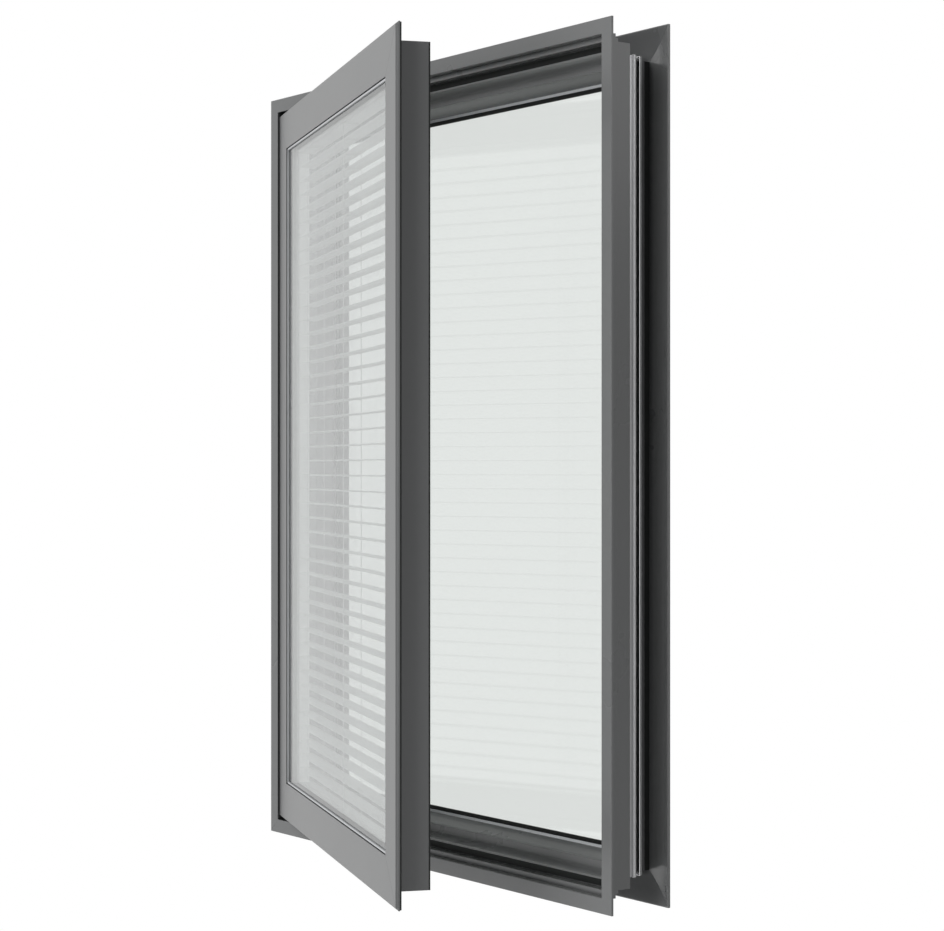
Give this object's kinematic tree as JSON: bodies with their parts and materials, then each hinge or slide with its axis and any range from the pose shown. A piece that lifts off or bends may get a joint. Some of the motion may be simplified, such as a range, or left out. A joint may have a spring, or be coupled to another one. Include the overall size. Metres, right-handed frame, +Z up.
{
  "type": "partition window with an opening sash and a blind",
  "caption": "Wrap-around aluminium partition window: stepped front frame, rear casing, fixed rear pane and a side-hung glazed sash that carries a slatted blind.",
  "frame": {"origin": "on the rear face of the front flange, at mid width and at the lower edge of the wall opening", "axes": "+X to the right along the wall, +Y through the wall to the rear room, +Z up"},
  "size_m": [0.888, 0.3946, 1.2],
  "materials": {
    "grey_paint": "satin mid-grey powder coat",
    "bare_aluminium": "bare extruded aluminium with fine drawing lines",
    "satin_aluminium": "satin anodised aluminium",
    "black_rubber": "matte black rubber seal",
    "clear_glass": "clear float glass, very slightly green",
    "white_enamel": "pale grey-white stove enamel",
    "ladder_cord": "woven white cord",
    "hinge_steel": "brushed steel"
  },
  "bodies": {
    "root": {"adapter_head": "bare_aluminium", "adapter_left_jamb": "bare_aluminium", "adapter_right_jamb": "bare_aluminium", "adapter_seal": "black_rubber", "adapter_sill": "bare_aluminium", "blind_bottom_rail": "white_enamel", "blind_head_rail": "white_enamel", "blind_ladders": "ladder_cord", "blind_side_channels": "white_enamel", "blind_slats": "white_enamel", "clip_rail_head": "bare_aluminium", "clip_rail_left_jamb": "bare_aluminium", "clip_rail_right_jamb": "bare_aluminium", "clip_rail_sill": "bare_aluminium", "fixed_pane": "clear_glass", "front_frame_head": "grey_paint", "front_frame_left_jamb": "grey_paint", "front_frame_right_jamb": "grey_paint", "front_frame_sill": "grey_paint", "glazing_bead_head": "grey_paint", "glazing_bead_left_jamb": "grey_paint", "glazing_bead_right_jamb": "grey_paint", "glazing_bead_sill": "grey_paint", "ledge_seal": "black_rubber", "lower_pivot_arm": "hinge_steel", "lower_pivot_bracket": "hinge_steel", "pane_front_seal": "black_rubber", "pane_rear_seal": "black_rubber", "pane_spacer": "satin_aluminium", "rear_casing_head": "grey_paint", "rear_casing_left_jamb": "grey_paint", "rear_casing_right_jamb": "grey_paint", "rear_casing_sill": "grey_paint", "root_seal": "black_rubber", "sash_bottom_rail": "grey_paint", "sash_edge_seal": "black_rubber", "sash_glass": "clear_glass", "sash_glass_bead": "satin_aluminium", "sash_glass_seal": "black_rubber", "sash_hinge_stile": "grey_paint", "sash_lock_stile": "grey_paint", "sash_rear_seal": "black_rubber", "sash_top_rail": "grey_paint", "upper_pivot_arm": "hinge_steel", "upper_pivot_bracket": "hinge_steel"}
  },
  "joints": []
}
